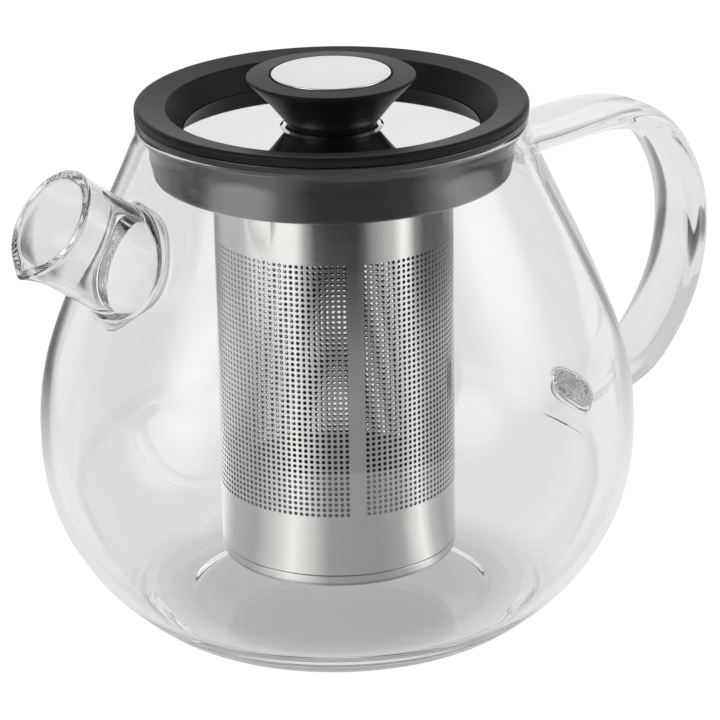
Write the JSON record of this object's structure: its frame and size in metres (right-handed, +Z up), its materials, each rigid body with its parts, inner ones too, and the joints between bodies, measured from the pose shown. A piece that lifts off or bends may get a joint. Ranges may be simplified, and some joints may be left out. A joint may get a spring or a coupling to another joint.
{
  "type": "teapot",
  "caption": "Round clear-glass teapot with a short fused spout, a flat strap handle, a lift-out perforated steel infuser and a black dished lid with a conical knob.",
  "frame": {"origin": "centre of the flat base that the pot rests on, on the axis of the body", "axes": "+Z up along the axis of the body, the handle towards +X and the spout towards -X"},
  "size_m": [0.2045, 0.1538, 0.1442],
  "materials": {
    "clear_glass": "polished borosilicate",
    "black_plastic": "satin moulded",
    "silicone": "matt",
    "brushed_steel": "fine brushed",
    "mirror_steel": "mirror polished",
    "polished_steel": "satin polished",
    "screw_steel": "plain"
  },
  "bodies": {
    "pot": {"glass_base": "clear_glass", "glass_belly": "clear_glass", "glass_shoulder": "clear_glass", "glass_spout": "clear_glass", "glass_handle": "clear_glass"},
    "infuser": {"infuser_collar": "black_plastic", "basket_clamp": "black_plastic", "basket_rim": "brushed_steel", "basket_wall": "brushed_steel", "basket_base": "brushed_steel"},
    "lid": {"lid_ring": "black_plastic", "lid_seal": "silicone", "lid_disc": "mirror_steel", "knob_body": "black_plastic", "knob_cap": "polished_steel", "knob_washer": "screw_steel", "knob_screw": "screw_steel"}
  },
  "joints": [
    {"name": "infuser_lift", "type": "slide", "parent": "pot", "child": "infuser", "axis": [0, 0, 1], "range_m": [0, 0.13]},
    {"name": "lid_lift", "type": "slide", "parent": "infuser", "child": "lid", "axis": [0, 0, 1], "range_m": [0, 0.05]}
  ]
}
